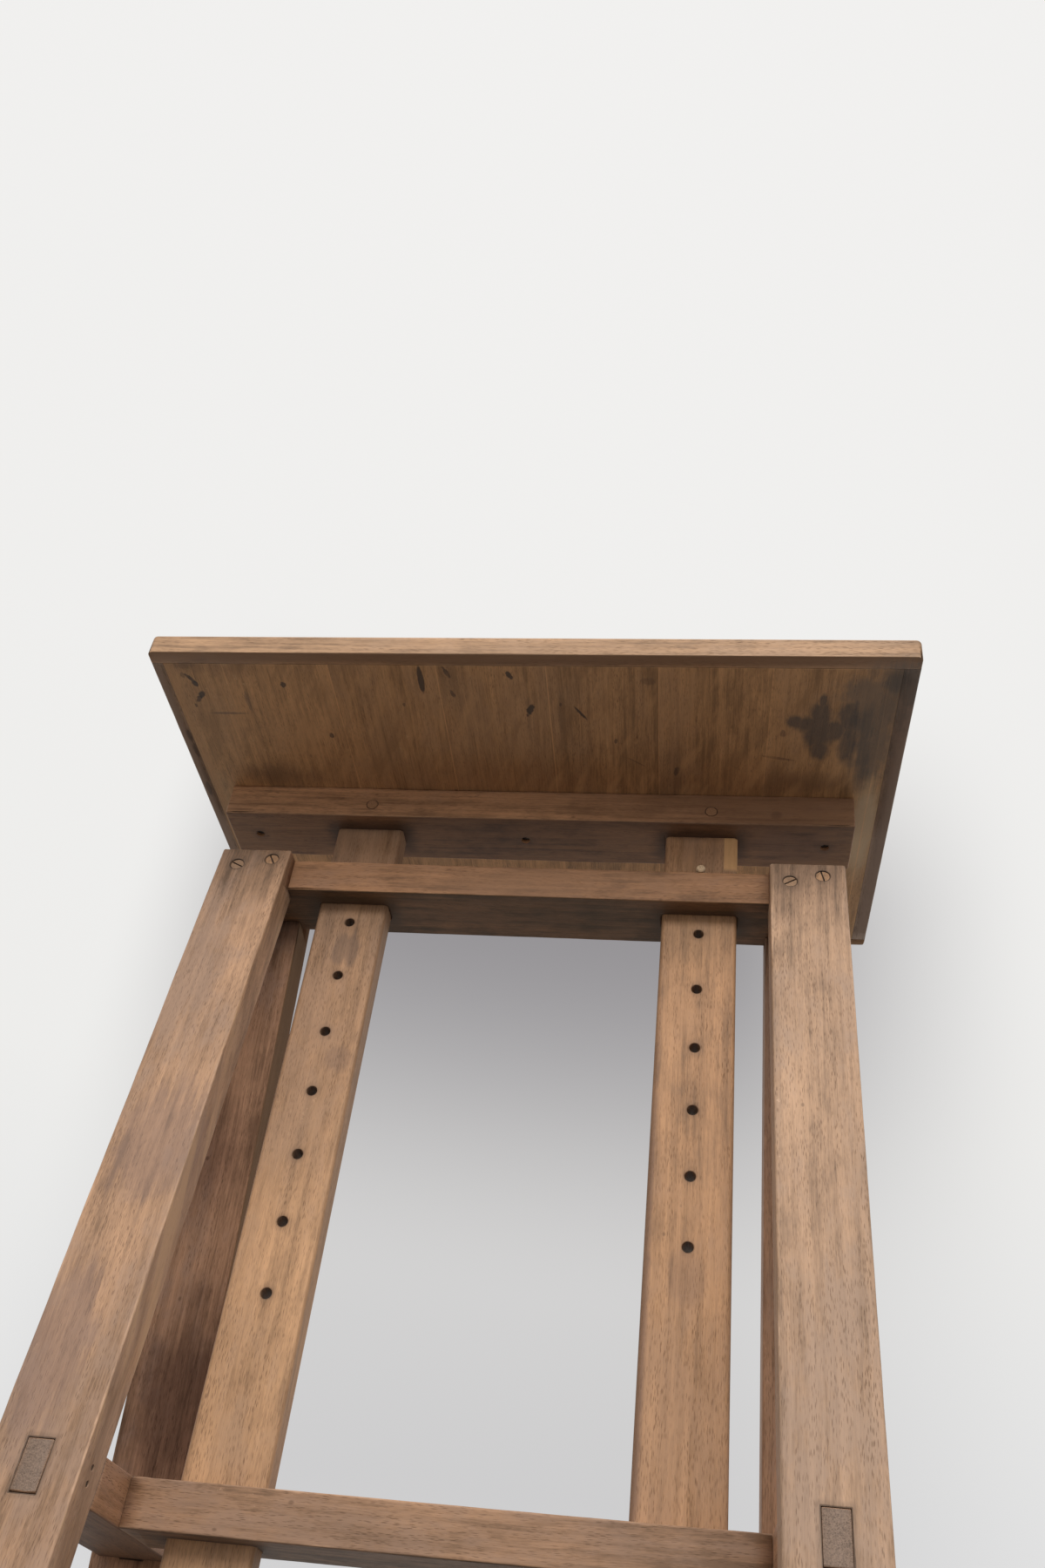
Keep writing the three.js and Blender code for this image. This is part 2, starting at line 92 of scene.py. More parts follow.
class Graph:
    def __init__(self, name):
        self.mat = bpy.data.materials.new(name)
        self.mat.use_nodes = True
        self.tree = self.mat.node_tree
        self.tree.nodes.clear()

    def node(self, kind, **kw):
        n = self.tree.nodes.new(kind)
        for k, v in kw.items():
            setattr(n, k, v)
        return n

    def put(self, sock, v):
        if isinstance(v, Val):
            self.tree.links.new(v.s, sock)
        elif isinstance(v, (tuple, list, Vector)):
            v = tuple(v)
            if sock.type == "RGBA" and len(v) == 3:
                v = v + (1.0,)
            sock.default_value = v
        else:
            sock.default_value = v

    def op(self, kind, a, b=None, c=None):
        n = self.node("ShaderNodeMath", operation=kind)
        self.put(n.inputs[0], a)
        if b is not None:
            self.put(n.inputs[1], b)
        if c is not None:
            self.put(n.inputs[2], c)
        return Val(self, n.outputs[0])

    def lo(self, a, b): return self.op("MINIMUM", a, b)
    def hi(self, a, b): return self.op("MAXIMUM", a, b)

    def vec(self, x, y, z):
        n = self.node("ShaderNodeCombineXYZ")
        for i, v in enumerate((x, y, z)):
            self.put(n.inputs[i], v)
        return Val(self, n.outputs[0])

    def vmath(self, kind, a, b, out=0):
        n = self.node("ShaderNodeVectorMath", operation=kind)
        self.put(n.inputs[0], a)
        self.put(n.inputs[1], b)
        return Val(self, n.outputs[out])

    def dot(self, a, b): return self.vmath("DOT_PRODUCT", a, b, 1)

    def length(self, a):
        n = self.node("ShaderNodeVectorMath", operation="LENGTH")
        self.put(n.inputs[0], a)
        return Val(self, n.outputs[1])

    def noise(self, v, scale=1.0, detail=2.0, rough=0.5, bend=0.0, colour=False):
        n = self.node("ShaderNodeTexNoise")
        self.put(n.inputs["Vector"], v)
        n.inputs["Scale"].default_value = scale
        n.inputs["Detail"].default_value = detail
        n.inputs["Roughness"].default_value = rough
        n.inputs["Distortion"].default_value = bend
        return Val(self, n.outputs["Color" if colour else 0])

    def cells(self, v, scale=1.0, feature="F1", out="Distance"):
        n = self.node("ShaderNodeTexVoronoi", feature=feature)
        self.put(n.inputs["Vector"], v)
        n.inputs["Scale"].default_value = scale
        return Val(self, n.outputs[out])

    def step(self, v, a, b, c=0.0, d=1.0):
        """Smooth step from c at a to d at b."""
        n = self.node("ShaderNodeMapRange", interpolation_type="SMOOTHSTEP")
        for i, x in enumerate((v, a, b, c, d)):
            self.put(n.inputs[i], x)
        return Val(self, n.outputs[0])

    def ramp(self, v, *stops):
        n = self.node("ShaderNodeValToRGB")
        self.put(n.inputs[0], v)
        e = n.color_ramp.elements
        while len(e) < len(stops):
            e.new(0.5)
        for i, (pos, col) in enumerate(stops):
            e[i].position = pos
            e[i].color = tuple(col) + (1.0,)
        return Val(self, n.outputs[0])

    def mix(self, f, a, b, kind="MIX"):
        n = self.node("ShaderNodeMix", data_type="RGBA", blend_type=kind)
        n.clamp_factor = True
        self.put(n.inputs[0], f)
        self.put(n.inputs[6], a)
        self.put(n.inputs[7], b)
        return Val(self, n.outputs[2])

    def split(self, v):
        n = self.node("ShaderNodeSeparateXYZ")
        self.put(n.inputs[0], v)
        return [Val(self, n.outputs[i]) for i in range(3)]

    def coord(self, name="Object"):
        n = self.node("ShaderNodeTexCoord")
        return Val(self, n.outputs[name])

    def surface(self, colour, rough, height_mm, metal=0.0, coat=0.0, spec=0.5, strength=1.0, sheen=0.0):
        bsdf = self.node("ShaderNodeBsdfPrincipled")
        out = self.node("ShaderNodeOutputMaterial")
        self.put(bsdf.inputs["Base Color"], colour)
        self.put(bsdf.inputs["Roughness"], rough)
        self.put(bsdf.inputs["Metallic"], metal)
        bsdf.inputs["Specular IOR Level"].default_value = spec
        bsdf.inputs["Coat Weight"].default_value = coat
        bsdf.inputs["Coat Roughness"].default_value = 0.45
        bsdf.inputs["Sheen Weight"].default_value = sheen
        if height_mm is not None:
            bump = self.node("ShaderNodeBump")
            bump.inputs["Strength"].default_value = strength
            bump.inputs["Distance"].default_value = 0.001
            self.put(bump.inputs["Height"], height_mm)
            self.tree.links.new(bump.outputs[0], bsdf.inputs["Normal"])
        self.tree.links.new(bsdf.outputs[0], out.inputs[0])
        return self.mat


# ---- local frames of the wooden members ---------------------------------------------------
# Each member has its own axes: A across, B through, L along the grain, and a centre.
X, Y, Z = Vector((1, 0, 0)), Vector((0, 1, 0)), Vector((0, 0, 1))


class Member:
    def __init__(self, node, A, B, L, cap=None):
        self.node, self.A, self.B, self.L, self.cap = node, A, B, L, cap
        lo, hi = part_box(node)
        self.C = (lo + hi) / 2
        size = hi - lo
        self.h = [abs(size.dot(v)) / 2 for v in (A, B, L)]

    def at(self, p):
        d = p - self.C
        return d.dot(self.A), d.dot(self.B), d.dot(self.L)


def leg_member(node, side, face):
    m = Member(node, X, Vector((0, -face * COS, -SIN)), Vector((0, -face * SIN, COS)), cap=(0.0, 0.8095))
    m.C = Vector((side * 0.1958, face * 0.07513, 0.4031))
    m.h = [0.0255, 0.0131, 0.408]
    return m


MEMBERS = {}
for side, sn in ((-1, "left"), (1, "right")):
    for face, fn in ((-1, "front"), (1, "rear")):
        n = f"leg_{fn}_{sn}"
        MEMBERS[n] = leg_member(n, side, face)
    MEMBERS[f"post_{sn}"] = Member(f"post_{sn}", X, Y, Z)
    MEMBERS[f"stretcher_{sn}"] = Member(f"stretcher_{sn}", X, Z, Y)
    MEMBERS[f"lipping_{sn}"] = Member(f"lipping_{sn}", X, Z, Y)
for n in ("top_rail", "cross_rail", "batten", "lipping_front", "lipping_rear"):
    MEMBERS[n] = Member(n, Y, Z, X)
MEMBERS["top_panel"] = Member("top_panel", X, Z, Y)


# ---- worn wooden members ------------------------------------------------------------------
def worn(name, width=0.0009, rim=0.0004, pitch=0.008, seed=0.0, least=0.55, most=1.6, chips=0.0, pick=None):
    """A member from its CAD shape, cut into short lengths, its arrises rounded
    and then rubbed down unevenly along the grain, as handling does."""
    m = MEMBERS[name]
    src = NODES[name]
    me = bpy.data.meshes.new("worn_" + name)
    bm = bmesh.new()
    bm.from_mesh(src.data)
    bmesh.ops.remove_doubles(bm, verts=bm.verts[:], dist=2e-6)
    bmesh.ops.dissolve_limit(bm, angle_limit=math.radians(0.6), verts=bm.verts[:], edges=bm.edges[:])
    stops = sorted({round(m.at(v.co)[2], 5) for v in bm.verts})
    n = max(2, int(2 * m.h[2] / pitch))
    for i in range(1, n):
        d = -m.h[2] + 2 * m.h[2] * i / n
        if min(abs(d - s) for s in stops) < 0.0022:
            continue
        bmesh.ops.bisect_plane(bm, geom=bm.verts[:] + bm.edges[:] + bm.faces[:], dist=1e-7,
                               plane_co=m.C + m.L * d, plane_no=m.L)

    def outer(e):
        p = (e.verts[0].co + e.verts[1].co) / 2
        a, b, l = m.at(p)
        da, db = m.h[0] - abs(a), m.h[1] - abs(b)
        dl = m.h[2] - abs(l) if m.cap is None else min(p.z - m.cap[0], m.cap[1] - p.z)
        return sum(x < 6e-5 for x in (da, db, dl)) >= 2

    sharp = [e for e in bm.edges if len(e.link_faces) == 2 and e.calc_face_angle(0) > math.radians(34)]
    if pick:
        arris = [e for e in sharp if pick((e.verts[0].co + e.verts[1].co) / 2)]
    else:
        arris = [e for e in sharp if outer(e)]
    inner = [e for e in sharp if not outer(e) and e.is_convex]
    keys = {(tuple(e.verts[0].co), tuple(e.verts[1].co)) for e in inner}
    if arris:
        bmesh.ops.bevel(bm, geom=arris, offset=width, offset_type="OFFSET", segments=3, profile=0.5,
                        affect="EDGES", clamp_overlap=False)
    if rim:
        inner = [e for e in bm.edges if e.is_valid and ((tuple(e.verts[0].co), tuple(e.verts[1].co)) in keys
                                                         or (tuple(e.verts[1].co), tuple(e.verts[0].co)) in keys)]
        if inner:
            bmesh.ops.bevel(bm, geom=inner, offset=rim, offset_type="OFFSET", segments=2, profile=0.5,
                            affect="EDGES", clamp_overlap=False)
    for v in bm.verts:
        a, b, l = m.at(v.co)
        da, db = m.h[0] - abs(a), m.h[1] - abs(b)
        if -1e-5 < da < width * 1.04 and -1e-5 < db < width * 1.04:
            q = (1 if a > 0 else 2) * 3.1 + (1 if b > 0 else 2) * 7.7 + seed
            slow = noise.noise(Vector((l * 9.0, q, 0.3)))
            fast = noise.noise(Vector((l * 55.0, q, 4.1)))
            s = (least + most) / 2 + (most - least) * (0.55 * slow + 0.45 * fast)
            if chips:
                s += chips * max(0.0, noise.noise(Vector((l * 28.0, q, 9.7))) - 0.42) * 6.0
            s = max(least * 0.8, s)
            v.co += m.A * (math.copysign(1, a) * da * (1 - s)) + m.B * (math.copysign(1, b) * db * (1 - s))
    bmesh.ops.recalc_face_normals(bm, faces=bm.faces[:])
    bm.to_mesh(me)
    bm.free()
    for p in me.polygons:
        p.use_smooth = True
    ob = bpy.data.objects.new("worn_" + name, me)
    scene.collection.objects.link(ob)
    wn = ob.modifiers.new("even", "WEIGHTED_NORMAL")
    wn.mode = "FACE_AREA"
    wn.weight = 50
    wn.keep_sharp = False
    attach(ob, BODY[name])
    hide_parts(name)
    return ob


# ---- wood ---------------------------------------------------------------------------------
def tone(mid, dark=0.57, light=1.37, grey=0.86, pore=0.28, worn=1.65, **kw):
    """The colours of one piece of wood from its middle one."""
    r, gr, b = mid
    t = dict(mid=mid, dark=tuple(c * dark for c in mid), light=tuple(min(0.8, c * light) for c in mid),
             grey=(r * grey * 0.86, (gr * 0.82 + r * 0.09) * grey, (b * 0.80 + r * 0.14) * grey),
             pore=(r * pore, gr * pore * 0.92, b * pore * 0.9),
             worn=(min(0.78, r * worn), min(0.66, gr * worn * 1.08), min(0.56, b * worn * 1.2)))
    t["end"] = ((r * 0.52), (gr * 0.60), (b * 0.74))
    t.update(kw)
    return t


def wood(name, m, t, seed=1.0, pith=(0.03, -0.09), ring=0.0046, ring_k=0.05, pores=0.66, mottle=0.5,
         greys=0.5, wear=0.75, wear_w=0.0013, bump=1.0, rough=0.6, fibre=1.0, spots=(), lines=(), rings=(),
         extra=None, fine=1.0, leaf=None, spec=0.32):
    """Open-pored hardwood sawn lengthwise: growth rings round a pith outside the piece,
    short dark pores along the grain, fibre streaks, mottled and greyed patches, rubbed arrises."""
    g = Graph(name)
    p = g.coord()
    d = g.vmath("SUBTRACT", p, m.C)
    a, b, l = g.dot(d, m.A), g.dot(d, m.B), g.dot(d, m.L)
    px, py, pz = g.split(p)
    leaf_tone = None
    if leaf:                                     # veneer leaves side by side, each with its own figure
        idx = g.op("FLOOR", (px - leaf[0]) / leaf[1])
        wn = g.node("ShaderNodeTexWhiteNoise", noise_dimensions="1D")
        g.put(wn.inputs["W"], idx + 3.5)
        leaf_tone = Val(g, wn.outputs[0])
        seed = leaf_tone * 9.0 + seed
    # the grain wanders slowly along the piece
    wander = g.noise(g.vec(a * 5.0 + seed, b * 5.0, l * 3.2), detail=1.5, rough=0.5, colour=True)
    wx, wy, _ = g.split(wander)
    aw = a + (wx - 0.5) * 0.013
    bw = b + (wy - 0.5) * 0.013
    # growth rings
    ra, rb = aw - pith[0], bw - pith[1]
    rad = g.op("SQRT", ra * ra + rb * rb)
    uneven = g.noise(g.vec(aw * 60.0, bw * 60.0 + seed, l * 1.5), detail=2.0)
    frac = g.op("FRACT", rad / ring + uneven * 2.2)
    early = g.step(frac, 0.0, 0.18) * g.step(frac, 0.35, 0.9, 1.0, 0.0)
    # fibres: broad and fine streaks
    s1 = g.noise(g.vec(aw * 260.0, bw * 260.0, l * 8.0 + seed), detail=4.0, rough=0.66)
    s3 = g.noise(g.vec(aw * 95.0 + 2.0, bw * 95.0, l * 4.5 + seed), detail=3.0, rough=0.6)
    s2 = g.noise(g.vec(aw * 1150.0 * fine, bw * 1150.0 * fine, l * 60.0 + seed), detail=2.0, rough=0.65)
    # pores: short dark dashes with pointed ends, denser in the early wood
    cell = g.cells(g.vec(aw * 1350.0 * fine, bw * 1350.0 * fine, l * 165.0 * fine + seed))
    cell2 = g.cells(g.vec(aw * 900.0 * fine + 3.7, bw * 900.0 * fine, l * 88.0 * fine + seed))
    dash = g.hi(g.step(cell, 0.12, 0.40, 1.0, 0.0), g.step(cell2, 0.08, 0.27, 0.9, 0.0))
    dense = g.noise(g.vec(aw * 75.0, bw * 75.0, l * 12.0 + seed), detail=3.0, rough=0.6)
    dash = dash * (0.62 + early * 0.38) * g.step(dense, 0.30, 0.62, 0.30, 1.0)
    # patches
    p1 = g.noise(g.vec(a * 26.0, b * 26.0 + seed, l * 9.0), detail=5.0, rough=0.66)
    p2 = g.noise(g.vec(a * 75.0 + seed, b * 75.0, l * 38.0), detail=4.0, rough=0.65)
    p3 = g.noise(g.vec(a * 15.0, b * 15.0, l * 4.2 + seed * 2.0), detail=3.0, rough=0.6)
    v = 0.5 + (s1 - 0.5) * (1.15 * fibre) + (s3 - 0.5) * (0.80 * fibre) + (s2 - 0.5) * (0.72 * fibre) \
        + (p1 - 0.5) * (mottle * 1.7) + (p2 - 0.5) * (mottle * 1.7) - early * ring_k + ring_k * 0.35
    if leaf:
        v = v + (leaf_tone - 0.5) * leaf[2]
    col = g.ramp(v, (0.14, t["dark"]), (0.5, t["mid"]), (0.86, t["light"]))
    gm = g.step(p3 + (p2 - 0.5) * 0.7 + (s1 - 0.5) * 0.3, 0.42, 0.66) * greys
    col = g.mix(gm, col, t["grey"])
    col = g.mix(dash * pores, col, t["pore"])
    # arrises
    da, db = m.h[0] - abs(a), m.h[1] - abs(b)
    dl = m.h[2] - abs(l) if m.cap is None else g.lo(pz - m.cap[0], m.cap[1] - pz)
    e = g.lo(da + db, g.lo(da, db) + dl)
    rag = g.noise(g.vec(a * 120.0, b * 120.0, l * 45.0 + seed), detail=4.0, rough=0.7)
    amount = g.step(g.noise(g.vec(a * 8.0 + seed, b * 8.0, l * 11.0), detail=2.0), 0.32, 0.64, 0.25, 1.0)
    rub = g.step(e + (rag - 0.5) * 0.0026, 0.0, wear_w, 1.0, 0.0) * amount
    # end grain is darker and greyer
    nx = g.coord("Normal")
    endm = g.step(abs(g.dot(nx, m.L)), 0.80, 0.95)
    col = g.mix(endm * 0.92, col, g.mix(g.step(s2 + (dash * -0.4), 0.2, 0.7), tuple(c * 0.62 for c in t["end"]), tuple(c * 1.22 for c in t["end"])))
    col = g.mix(rub * wear * (1.0 - endm * 0.6), col, t["worn"])
    # fine dirt specks, and a few pale scuffs
    speck = g.cells(g.vec(a * 95.0 + seed, b * 95.0, l * 60.0))
    sp_on = g.step(g.noise(g.vec(a * 31.0, b * 31.0 + seed, l * 23.0), detail=0.0), 0.60, 0.70)
    col = g.mix(g.step(speck, 0.05, 0.13, 0.6, 0.0) * sp_on, col, t["pore"])
    scuff = g.noise(g.vec(a * 190.0 + 5.0, b * 190.0, l * 120.0 + seed), detail=4.0, rough=0.75)
    sc_on = g.step(g.noise(g.vec(a * 16.0 + 9.0, b * 16.0, l * 9.0 + seed), detail=1.0), 0.58, 0.70)
    col = g.mix(g.step(scuff, 0.60, 0.72) * sc_on * 0.5, col, t["worn"])
    h = -(dash * 0.10) + (s2 - 0.5) * 0.07 + (s1 - 0.5) * 0.10 + (p1 - 0.5) * 0.20 + (p2 - 0.5) * 0.10
    ctx = dict(g=g, a=a, b=b, l=l, x=px, y=py, z=pz, n=nx, s1=s1, s2=s2, s3=s3, p1=p1, p2=p2, p3=p3, rag=rag, e=e, dash=dash,
               aw=aw, bw=bw, end=endm, seed=seed, m=m, t=t)
    for s in spots:
        col, h = spot(ctx, col, h, **s)
    for s in lines:
        col, h = joint_line(ctx, col, h, **s)
    for s in rings:
        col, h = ring_mark(ctx, col, h, **s)
    r = rough + (p2 - 0.5) * 0.16 + dash * 0.12 - rub * 0.08 + (s2 - 0.5) * 0.08
    if extra:
        for f in (extra if isinstance(extra, (list, tuple)) else (extra,)):
            col, h, r = f(ctx, col, h, r)
    return g.surface(col, g.op("MINIMUM", r, 0.95), h * bump, spec=spec)


def under(c):
    return c["g"].step(c["g"].dot(c["n"], (0, 0, -1)), 0.5, 0.85)


def dirt_and_painted_shade(k, to, direction=(0, 0, -1), spread=1.3):
    """Dark mottled dirt and painted shade on the faces that look one way; every use here darkens the faces that look
    down.
    """
    def f(c, col, h, r):
        g = c["g"]
        face = g.step(g.dot(c["n"], direction), 0.45, 0.85)
        q = k + (c["p1"] - 0.5) * spread + (c["s1"] - 0.5) * spread * 0.7 + (c["p2"] - 0.5) * spread * 0.5
        # painted shade under the piece, mottled like dirt
        mask = g.step(q, 0.0, 1.0) * face
        return g.mix(mask, col, to), h, r + mask * 0.06
    return f


def sides(k, to):
    """Painted shade: the narrow sides darkened."""
    def f(c, col, h, r):
        g = c["g"]
        mask = g.step(abs(g.dot(c["n"], c["m"].A)), 0.25, 0.9) * k
        return g.mix(mask * (0.7 + c["p1"] * 0.6), col, to), h, r
    return f


def ring_mark(c, col, h, ax, centre, radius, w=0.0006, k=0.7, to=(0.045, 0.03, 0.022), pitch=None, only=None, glow=0.0, gk=0.0):
    """A dark line round a hole or plug; with a pitch, round every hole of a row along the second axis."""
    g = c["g"]
    u = c[ax[0]] - centre[0]
    v = c[ax[1]] - centre[1]
    if pitch:
        v = (g.op("FRACT", v / pitch + 0.5) - 0.5) * pitch
    d = g.op("SQRT", u * u + v * v) - radius + (c["rag"] - 0.5) * w * 1.2
    mask = g.step(abs(d), w * 0.3, w, k, 0.0)
    if glow:
        mask = g.hi(mask, g.step(d, 0.0, glow, gk, 0.0))
    if only is not None:
        mask = mask * only(c)
    return g.mix(mask, col, to), h


def spot(c, col, h, at, r, to, k=0.8, soft=(0.55, 1.1), rag=0.9, scale=60.0, stretch=(1, 1, 1), only=None, streak=0.0, lean=0.0):
    """A patch of colour, used for stains and also for painted shade and painted light: an ellipsoid in frame
    coordinates with a ragged edge; lean turns it about the upright axis, in degrees.
    """
    g = c["g"]
    ox, oy = c["x"] - at[0], c["y"] - at[1]
    if lean:
        q = math.radians(lean)
        ox, oy = ox * math.cos(q) + oy * math.sin(q), oy * math.cos(q) - ox * math.sin(q)
    dx = ox / r[0]
    dy = oy / r[1]
    dz = (c["z"] - at[2]) / r[2]
    dist = g.length(g.vec(dx, dy, dz))
    n = g.noise(g.vec(c["x"] * stretch[0], c["y"] * stretch[1], c["z"] * stretch[2]), scale=scale, detail=3.0, rough=0.6)
    dist = dist + (n - 0.5) * rag
    if streak:
        dist = dist + (c["s1"] - 0.5) * streak
    mask = g.step(dist, soft[0], soft[1], 1.0, 0.0) * k
    if only is not None:
        mask = mask * only(c)
    return g.mix(mask, col, to), h


def toned(at, r, gain, soft=(0.2, 1.2), rag=0.7, streak=0.8, scale=45.0):
    """A patch that is darker or lighter and keeps the grain under it."""
    def f(c, col, h, rr):
        g = c["g"]
        d = g.length(g.vec((c["x"] - at[0]) / r[0], (c["y"] - at[1]) / r[1], (c["z"] - at[2]) / r[2]))
        n = g.noise(g.vec(c["x"], c["y"], c["z"]), scale=scale, detail=3.0, rough=0.6)
        d = d + (n - 0.5) * rag + (c["s1"] - 0.5) * streak
        return g.mix(g.step(d, soft[0], soft[1], 1.0, 0.0), col, g.vmath("MULTIPLY", col, gain)), h, rr
    return f


def joint_line(c, col, h, ax, centre, half, w=0.0007, k=0.75, glow=0.004, gk=0.25, to=(0.045, 0.03, 0.022), only=None):
    """A dirty line round a rectangle, in two of the frame's axes, with a softer dark band round it; a wide, strong band
    is painted shade.
    """
    g = c["g"]
    q = [abs(c[n] - o) - hh for n, o, hh in zip(ax, centre, half)]
    sd = g.hi(q[0], q[1])
    outside = g.op("SQRT", g.hi(q[0], 0.0) * g.hi(q[0], 0.0) + g.hi(q[1], 0.0) * g.hi(q[1], 0.0))
    sd = g.op("ADD", g.lo(sd, 0.0), outside)
    d = abs(sd) + (c["rag"] - 0.5) * w
    mask = g.hi(g.step(d, w * 0.3, w, k, 0.0), g.step(d + (c["p2"] - 0.5) * glow, w, glow, gk, 0.0))
    if only is not None:
        mask = mask * only(c)
    return g.mix(mask, col, to), h - g.step(d, w * 0.2, w, 0.15, 0.0)


# ---- stage and light ----------------------------------------------------------------------
def plane(name, w, d, at, turn=(0, 0, 0)):
    me = bpy.data.meshes.new(name)
    bm = bmesh.new()
    bmesh.ops.create_grid(bm, x_segments=2, y_segments=2, size=0.5)
    bm.to_mesh(me)
    bm.free()
    o = bpy.data.objects.new(name, me)
    o.scale = (w, d, 1)
    o.location = at
    o.rotation_euler = turn
    scene.collection.objects.link(o)
    return o


def stage_material(name, colour):
    g = Graph(name)
    n = g.noise(g.coord(), scale=3.0, detail=3.0)
    n2 = g.noise(g.coord(), scale=240.0, detail=2.0)
    col = g.mix(n, tuple(c * 0.985 for c in colour), colour)
    return g.surface(col, 0.9, n2 * 0.2, spec=0.1)


floor = plane("floor", 70, 70, (0, 0, 0))
floor.data.materials.append(stage_material("pale_floor", (0.74, 0.73, 0.71)))
floor.visible_diffuse = False

world = bpy.data.worlds.new("studio")
scene.world = world
world.use_nodes = True
wt = world.node_tree
wt.nodes.clear()
w_out = wt.nodes.new("ShaderNodeOutputWorld")
w_bg = wt.nodes.new("ShaderNodeBackground")
w_tc = wt.nodes.new("ShaderNodeTexCoord")
w_sep = wt.nodes.new("ShaderNodeSeparateXYZ")
w_ramp = wt.nodes.new("ShaderNodeValToRGB")
wt.links.new(w_tc.outputs["Generated"], w_sep.inputs[0])


def w_math(kind, x, y=None):
    n = wt.nodes.new("ShaderNodeMath")
    n.operation = kind
    for i, v in enumerate((x, y)):
        if v is None:
            continue
        if isinstance(v, (int, float)):
            n.inputs[i].default_value = v
        else:
            wt.links.new(v, n.inputs[i])
    return n.outputs[0]


def w_step(v, a0, a1, b0, b1):
    n = wt.nodes.new("ShaderNodeMapRange")
    n.interpolation_type = "SMOOTHSTEP"
    wt.links.new(v, n.inputs[0])
    for i, x in enumerate((a0, a1, b0, b1)):
        n.inputs[i + 1].default_value = x
    return n.outputs[0]


# the room: a pale wall stands behind, so its side stays bright below the horizon
wx_, wy_, wz_ = w_sep.outputs
low_ = w_math("MINIMUM", wz_, 0.0)
high_ = w_math("MAXIMUM", wz_, 0.0)
squeeze = w_step(wy_, 0.0, 0.5, 1.0, 0.26)
t_ = w_math("MULTIPLY_ADD", w_math("ADD", high_, w_math("MULTIPLY", low_, squeeze)), 0.5)
t_.node.inputs[2].default_value = 0.5
wt.links.new(t_, w_ramp.inputs[0])
# a soft shade on the wall behind, darker higher up
q_ = w_math("DIVIDE", wx_, w_math("MAXIMUM", wy_, 0.05))
across = w_math("MULTIPLY", w_step(q_, -0.58, -0.34, 0.0, 1.0), w_step(q_, -0.02, 0.34, 1.0, 0.0))
up_ = w_math("ADD", w_step(wz_, 0.02, 0.22, 0.0, 0.22), w_step(wz_, 0.33, 0.60, 0.0, 0.46))
shade = w_math("MULTIPLY", w_math("MULTIPLY", across, up_), w_math("MULTIPLY", w_step(wz_, 0.585, 0.73, 1.0, 0.0), w_step(wy_, 0.1, 0.3, 0.0, 1.0)))
w_mix = wt.nodes.new("ShaderNodeMix")
w_mix.data_type = "RGBA"
wt.links.new(shade, w_mix.inputs[0])
wt.links.new(w_ramp.outputs[0], w_mix.inputs[6])
w_mix.inputs[7].default_value = (0.035, 0.02, 0.045, 1.0)
wt.links.new(w_mix.outputs[2], w_bg.inputs[0])
wt.links.new(w_bg.outputs[0], w_out.inputs[0])
WORLD = [(0.0, (0.080, 0.074, 0.067)), (0.14, (0.118, 0.109, 0.098)), (0.33, (0.31, 0.292, 0.268)), (0.43, (0.55, 0.53, 0.50)),
         (0.490, (0.66, 0.65, 0.63)), (0.505, (0.70, 0.70, 0.71)), (0.60, (0.775, 0.775, 0.775)), (0.72, (0.85, 0.845, 0.83)),
         (1.0, (0.885, 0.878, 0.868))]
e = w_ramp.color_ramp.elements
while len(e) < len(WORLD):
    e.new(0.5)
for i, (pos, c) in enumerate(WORLD):
    e[i].position = pos
    e[i].color = c + (1.0,)
w_bg.inputs[1].default_value = 1.0


def area(name, at, to, size, power, colour=(1, 1, 1)):
    d = bpy.data.lights.new(name, "AREA")
    d.shape = "RECTANGLE"
    d.size, d.size_y = size
    d.energy = power
    d.color = colour
    o = bpy.data.objects.new(name, d)
    o.location = at
    o.rotation_mode = "QUATERNION"
    o.rotation_quaternion = (Vector(to) - Vector(at)).to_track_quat("-Z", "Y")
    scene.collection.objects.link(o)
    return o


area("key", (0.5, -2.3, 2.3), (0, 0, 0.5), (2.2, 1.6), 55, (1.0, 0.985, 0.96))

# ---- pieces -------------------------------------------------------------------------------
M = MEMBERS
mats = {}
DARK = (0.060, 0.036, 0.026)
INK = (0.022, 0.021, 0.024)
MID = {
    "leg_front_left": (0.418, 0.244, 0.143), "leg_front_right": (0.455, 0.280, 0.172),
    "leg_rear_left": (0.425, 0.245, 0.152), "leg_rear_right": (0.400, 0.228, 0.135),
    "post_left": (0.400, 0.226, 0.122), "post_right": (0.452, 0.246, 0.126),
    "stretcher_left": (0.345, 0.182, 0.098), "stretcher_right": (0.355, 0.190, 0.105),
    "top_rail": (0.362, 0.182, 0.088), "cross_rail": (0.368, 0.208, 0.118), "batten": (0.455, 0.245, 0.130),
    "top_panel": (0.520, 0.298, 0.146), "lipping_front": (0.430, 0.255, 0.142), "lipping_rear": (0.400, 0.235, 0.130),
    "lipping_left": (0.400, 0.270, 0.185), "lipping_right": (0.390, 0.265, 0.190),
}


def oblique(dark, light):
    """Slanting figure on the narrow sides."""
    def f(c, col, h, r):
        g = c["g"]
        face = g.step(abs(g.dot(c["n"], c["m"].A)), 0.4, 0.9)
        q = g.noise(g.vec(c["bw"] * 55.0 + c["l"] * 17.0, c["bw"] * 20.0 + 3.0, c["l"] * 3.0), detail=4.0, rough=0.62)
        col = g.mix(face * g.step(q, 0.36, 0.50, 0.62, 0.0), col, dark)
        return g.mix(face * g.step(q, 0.50, 0.62, 0.0, 0.62), col, light), h, r
    return f


